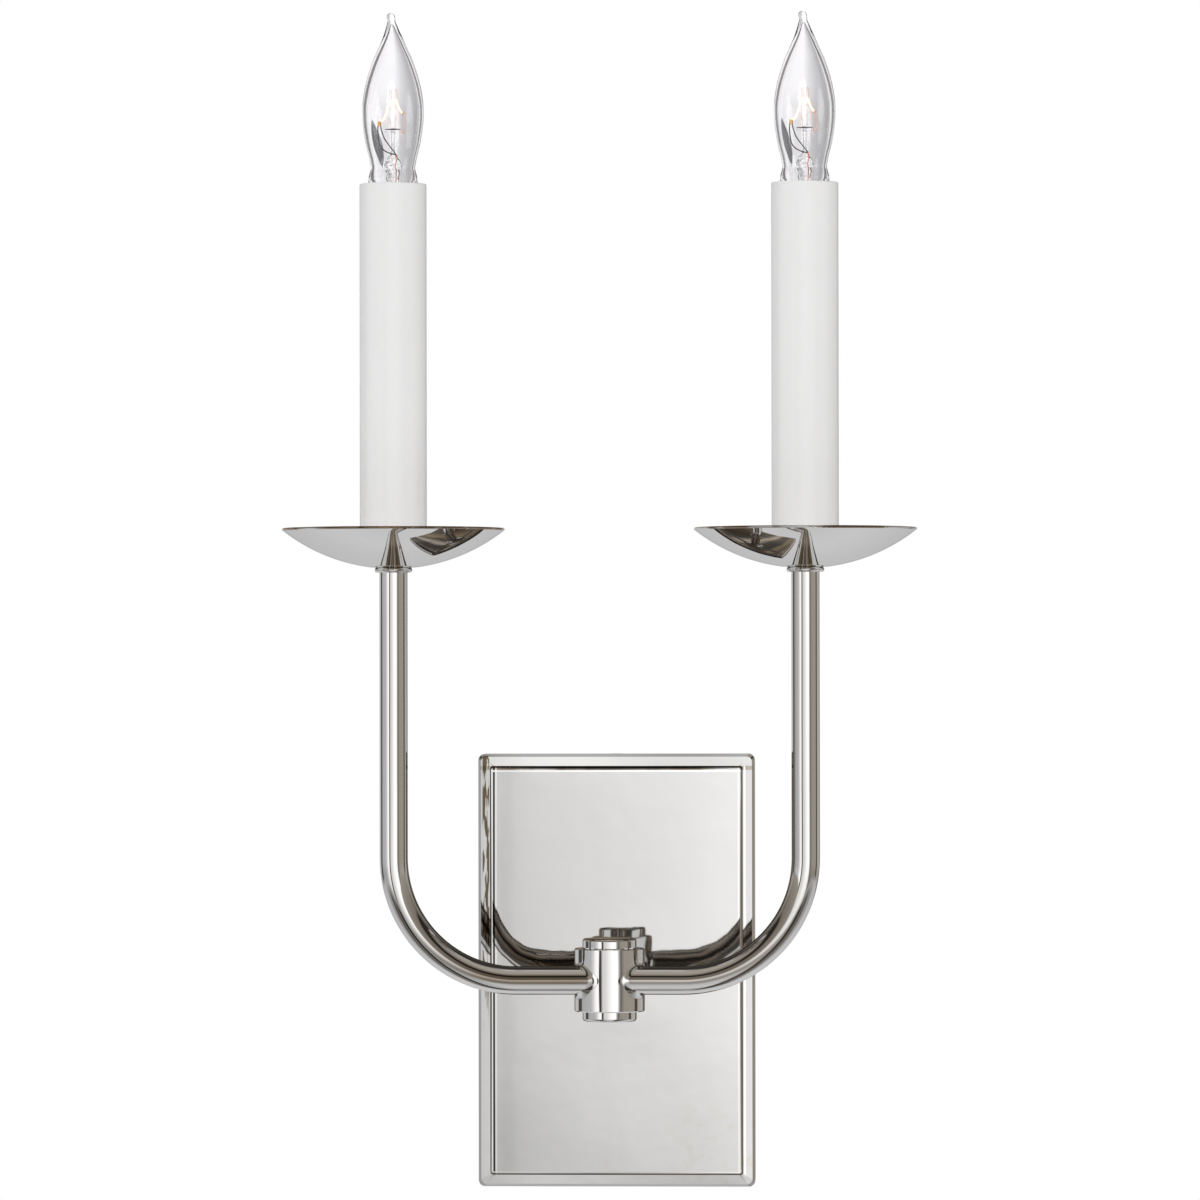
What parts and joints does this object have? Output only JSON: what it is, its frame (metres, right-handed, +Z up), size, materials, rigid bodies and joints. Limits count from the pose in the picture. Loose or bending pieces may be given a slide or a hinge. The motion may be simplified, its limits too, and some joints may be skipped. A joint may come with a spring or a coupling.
{
  "type": "double arm wall sconce",
  "caption": "Wall sconce with a stepped rectangular canopy, an upright hub, two arms bent up into a U, shallow dishes, candle covers and flame bulbs.",
  "frame": {"origin": "centre of the backplate's rear face and of the two junction box screw slots, on the wall plane, level with the hub and the arms' straight runs", "axes": "+Z up along the candles; +Y into the wall, out of the rear face; +X to the right as seen from the front"},
  "size_m": [0.226, 0.1271, 0.4241],
  "materials": {
    "polished_nickel": "mirror polished nickel plate",
    "cover_resin": "satin off-white",
    "clear_glass": "clear blown glass",
    "black_glass": "fused black glass",
    "brass": "plain formed brass",
    "solder": "dull solder",
    "lead_wire": "copper clad wire",
    "tungsten": "drawn wire",
    "socket_plastic": "moulded phenolic",
    "zinc_steel": "zinc plated",
    "screw_steel": "plated steel",
    "green_paint": "green dyed screw",
    "black_insulation": "satin",
    "white_insulation": "satin",
    "connector_plastic": "moulded nylon"
  },
  "bodies": {
    "fixture": {"arm_grub_screws": "screw_steel", "arm_left": "polished_nickel", "arm_right": "polished_nickel", "backplate": "polished_nickel", "dish_left": "polished_nickel", "dish_nut_left": "zinc_steel", "dish_nut_right": "zinc_steel", "dish_right": "polished_nickel", "dish_ring_left": "polished_nickel", "dish_ring_right": "polished_nickel", "ground_screw": "green_paint", "hub_body": "polished_nickel", "hub_cap_bottom": "polished_nickel", "hub_cap_top": "polished_nickel", "mounting_strap": "zinc_steel", "plate_grub_screws": "screw_steel", "socket_body_left": "socket_plastic", "socket_body_right": "socket_plastic", "socket_bracket_left": "zinc_steel", "socket_bracket_right": "zinc_steel", "socket_contact_left": "brass", "socket_contact_right": "brass", "socket_rivets_left": "zinc_steel", "socket_rivets_right": "zinc_steel", "socket_shell_left": "brass", "socket_shell_right": "brass", "stem_collar": "polished_nickel", "stem_nut": "zinc_steel", "stem_pipe": "zinc_steel", "stem_tube": "polished_nickel", "stem_washer": "zinc_steel", "wire_connector_live": "connector_plastic", "wire_connector_neutral": "connector_plastic", "wire_live_left": "black_insulation", "wire_live_right": "black_insulation", "wire_neutral_left": "white_insulation", "wire_neutral_right": "white_insulation"},
    "cover_left": {"candle_cover_left": "cover_resin"},
    "bulb_carrier_left": {"bulb_tip_contact_left": "solder"},
    "bulb_left": {"bulb_base_left": "brass", "bulb_button_left": "clear_glass", "bulb_filament_left": "tungsten", "bulb_glass_left": "clear_glass", "bulb_hook_left": "tungsten", "bulb_insulator_left": "black_glass", "bulb_leads_left": "lead_wire", "bulb_mount_left": "clear_glass"},
    "cover_right": {"candle_cover_right": "cover_resin"},
    "bulb_carrier_right": {"bulb_tip_contact_right": "solder"},
    "bulb_right": {"bulb_base_right": "brass", "bulb_button_right": "clear_glass", "bulb_filament_right": "tungsten", "bulb_glass_right": "clear_glass", "bulb_hook_right": "tungsten", "bulb_insulator_right": "black_glass", "bulb_leads_right": "lead_wire", "bulb_mount_right": "clear_glass"}
  },
  "joints": [
    {"name": "cover_lift_left", "type": "slide", "parent": "fixture", "child": "cover_left", "axis": [0, 0, 1], "range_m": [0, 0.018]},
    {"name": "bulb_rise_left", "type": "slide", "parent": "fixture", "child": "bulb_carrier_left", "axis": [0, 0, 1], "range_m": [0, 0.0128]},
    {"name": "bulb_turn_left", "type": "hinge", "parent": "bulb_carrier_left", "child": "bulb_left", "pos_m": [-0.07665, -0.0874, 0.27], "axis": [0, 0, 1], "range_deg": [0, 1800]},
    {"name": "cover_lift_right", "type": "slide", "parent": "fixture", "child": "cover_right", "axis": [0, 0, 1], "range_m": [0, 0.018]},
    {"name": "bulb_rise_right", "type": "slide", "parent": "fixture", "child": "bulb_carrier_right", "axis": [0, 0, 1], "range_m": [0, 0.0128]},
    {"name": "bulb_turn_right", "type": "hinge", "parent": "bulb_carrier_right", "child": "bulb_right", "pos_m": [0.07005, -0.0874, 0.27], "axis": [0, 0, 1], "range_deg": [0, 1800]}
  ],
  "couplings": [
    {"joint": "bulb_rise_left", "follows": "bulb_turn_left", "m_per_rad": 0.00040425},
    {"joint": "bulb_rise_right", "follows": "bulb_turn_right", "m_per_rad": 0.00040425}
  ]
}
